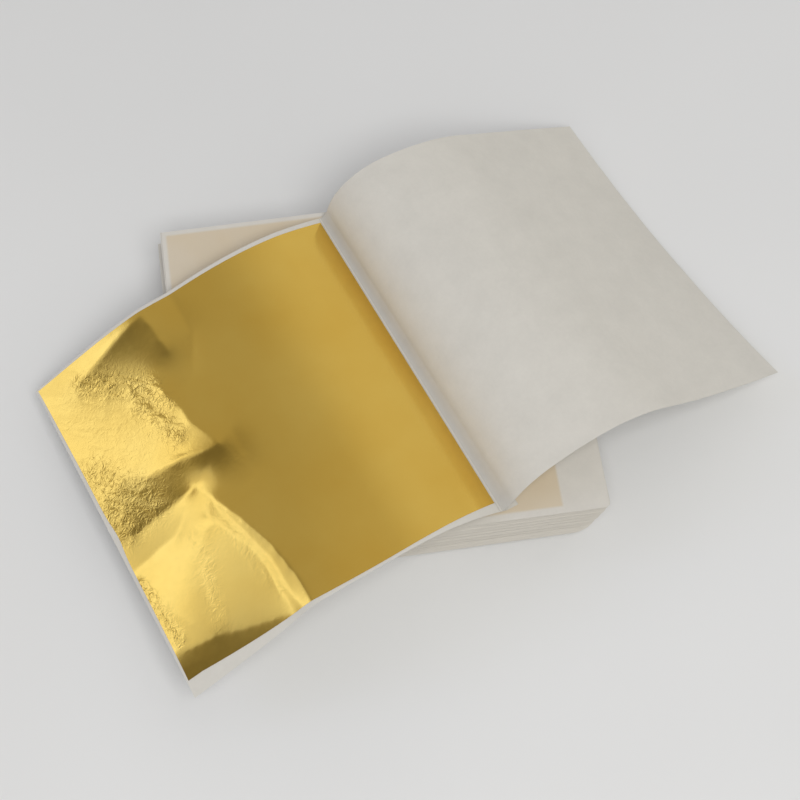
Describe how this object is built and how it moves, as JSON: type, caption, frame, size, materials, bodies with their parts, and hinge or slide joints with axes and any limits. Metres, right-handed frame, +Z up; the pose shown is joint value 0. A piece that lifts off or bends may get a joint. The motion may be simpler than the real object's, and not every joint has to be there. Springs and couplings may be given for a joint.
{
  "type": "pack of loose gold leaf",
  "caption": "Pile of folded tissue folders, each with a square leaf of gold-coloured metal, the top folder lying open with its leaf bare.",
  "frame": {"origin": "middle of the bottom face of the pile", "axes": "+X across the folders towards their free edges, +Y along their folds towards the back, +Z up"},
  "size_m": [0.2988, 0.2322, 0.0513],
  "materials": {
    "tissue": "matte, thin, faintly cloudy",
    "open_tissue": "matte, thin, faintly cloudy",
    "leaf": "bright beaten leaf",
    "open_leaf": "bright beaten leaf, crumpled"
  },
  "bodies": {
    "bundle_1": {"bundle_1_folders": "tissue", "bundle_1_leaves": "leaf"},
    "bundle_2": {"bundle_2_folders": "tissue", "bundle_2_leaves": "leaf"},
    "bundle_3": {"bundle_3_folders": "tissue", "bundle_3_leaves": "leaf"},
    "bundle_4": {"bundle_4_folders": "tissue", "bundle_4_leaves": "leaf"},
    "bundle_5": {"bundle_5_folders": "tissue", "bundle_5_leaves": "leaf"},
    "bundle_6": {"bundle_6_folders": "tissue", "bundle_6_leaves": "leaf"},
    "bundle_7": {"bundle_7_folders": "tissue", "bundle_7_leaves": "leaf"},
    "bundle_8": {"bundle_8_folders": "tissue", "bundle_8_leaves": "leaf"},
    "bundle_9": {"bundle_9_folders": "tissue", "bundle_9_leaves": "leaf"},
    "top_1": {"top_folder_1": "tissue", "top_leaf_1": "leaf"},
    "top_2": {"top_folder_2": "tissue", "top_leaf_2": "leaf"},
    "top_3": {"top_folder_3": "tissue", "top_leaf_3": "leaf"},
    "top_4": {"top_folder_4": "tissue", "top_leaf_4": "leaf"},
    "top_5": {"top_folder_5": "tissue", "top_leaf_5": "leaf"},
    "top_6": {"top_folder_6": "tissue", "top_leaf_6": "leaf"},
    "top_7": {"top_folder_7": "tissue", "top_leaf_7": "leaf"},
    "top_8": {"top_folder_8": "tissue", "top_leaf_8": "leaf"},
    "top_9": {"top_folder_9": "tissue", "top_leaf_9": "leaf"},
    "open_folder": {"open_leaf_page": "open_tissue"},
    "open_leaf": {"open_leaf": "open_leaf"},
    "page_1": {"raised_page_1": "open_tissue"},
    "page_2": {"raised_page_2": "open_tissue"},
    "page_3": {"raised_page_3": "open_tissue"},
    "page_4": {"raised_page_4": "open_tissue"},
    "page_5": {"raised_page_5": "open_tissue"}
  },
  "joints": [
    {"name": "lift_bundle_2", "type": "slide", "parent": "bundle_1", "child": "bundle_2", "axis": [0, 0, 1], "range_m": [0, 0.008]},
    {"name": "lift_bundle_3", "type": "slide", "parent": "bundle_2", "child": "bundle_3", "axis": [0, 0, 1], "range_m": [0, 0.008]},
    {"name": "lift_bundle_4", "type": "slide", "parent": "bundle_3", "child": "bundle_4", "axis": [0, 0, 1], "range_m": [0, 0.008]},
    {"name": "lift_bundle_5", "type": "slide", "parent": "bundle_4", "child": "bundle_5", "axis": [0, 0, 1], "range_m": [0, 0.008]},
    {"name": "lift_bundle_6", "type": "slide", "parent": "bundle_5", "child": "bundle_6", "axis": [0, 0, 1], "range_m": [0, 0.008]},
    {"name": "lift_bundle_7", "type": "slide", "parent": "bundle_6", "child": "bundle_7", "axis": [0, 0, 1], "range_m": [0, 0.008]},
    {"name": "lift_bundle_8", "type": "slide", "parent": "bundle_7", "child": "bundle_8", "axis": [0, 0, 1], "range_m": [0, 0.008]},
    {"name": "lift_bundle_9", "type": "slide", "parent": "bundle_8", "child": "bundle_9", "axis": [0, 0, 1], "range_m": [0, 0.008]},
    {"name": "lift_top_1", "type": "slide", "parent": "bundle_9", "child": "top_1", "axis": [0, 0, 1], "range_m": [0, 0.006]},
    {"name": "lift_top_2", "type": "slide", "parent": "top_1", "child": "top_2", "axis": [0, 0, 1], "range_m": [0, 0.006]},
    {"name": "lift_top_3", "type": "slide", "parent": "top_2", "child": "top_3", "axis": [0, 0, 1], "range_m": [0, 0.006]},
    {"name": "lift_top_4", "type": "slide", "parent": "top_3", "child": "top_4", "axis": [0, 0, 1], "range_m": [0, 0.006]},
    {"name": "lift_top_5", "type": "slide", "parent": "top_4", "child": "top_5", "axis": [0, 0, 1], "range_m": [0, 0.006]},
    {"name": "lift_top_6", "type": "slide", "parent": "top_5", "child": "top_6", "axis": [0, 0, 1], "range_m": [0, 0.006]},
    {"name": "lift_top_7", "type": "slide", "parent": "top_6", "child": "top_7", "axis": [0, 0, 1], "range_m": [0, 0.006]},
    {"name": "lift_top_8", "type": "slide", "parent": "top_7", "child": "top_8", "axis": [0, 0, 1], "range_m": [0, 0.006]},
    {"name": "lift_top_9", "type": "slide", "parent": "top_8", "child": "top_9", "axis": [0, 0, 1], "range_m": [0, 0.006]},
    {"name": "lift_open_folder", "type": "slide", "parent": "top_9", "child": "open_folder", "axis": [0, 0, 1], "range_m": [0, 0.03]},
    {"name": "lift_open_leaf", "type": "slide", "parent": "open_folder", "child": "open_leaf", "axis": [0, 0, 1], "range_m": [0, 0.02]},
    {"name": "page_turn", "type": "hinge", "parent": "open_folder", "child": "page_1", "pos_m": [-0.0116, 0.0697, 0.02695], "axis": [-0.3518, 0.9361, 0], "range_deg": [-55, 0]},
    {"name": "page_bend_1", "type": "hinge", "parent": "page_1", "child": "page_2", "pos_m": [-0.00844, 0.07089, 0.03839], "axis": [-0.3783, 0.9256, 0.0146], "range_deg": [-72.5, 0.3]},
    {"name": "page_bend_2", "type": "hinge", "parent": "page_2", "child": "page_3", "pos_m": [0.00156, 0.07465, 0.04853], "axis": [-0.3937, 0.9185, 0.0374], "range_deg": [-21.5, 0.3]},
    {"name": "page_bend_3", "type": "hinge", "parent": "page_3", "child": "page_4", "pos_m": [0.01336, 0.07908, 0.05129], "axis": [-0.456, 0.8895, 0.0292], "range_deg": [-43.5, 0.3]},
    {"name": "page_bend_4", "type": "hinge", "parent": "page_4", "child": "page_5", "pos_m": [0.0371, 0.088, 0.04639], "axis": [-0.4747, 0.8789, 0.0464], "range_deg": [-33.5, 0.3]}
  ],
  "couplings": [
    {"joint": "page_bend_1", "follows": "page_turn", "ratio": 1.309},
    {"joint": "page_bend_2", "follows": "page_turn", "ratio": 0.382},
    {"joint": "page_bend_3", "follows": "page_turn", "ratio": 0.782},
    {"joint": "page_bend_4", "follows": "page_turn", "ratio": 0.6}
  ]
}
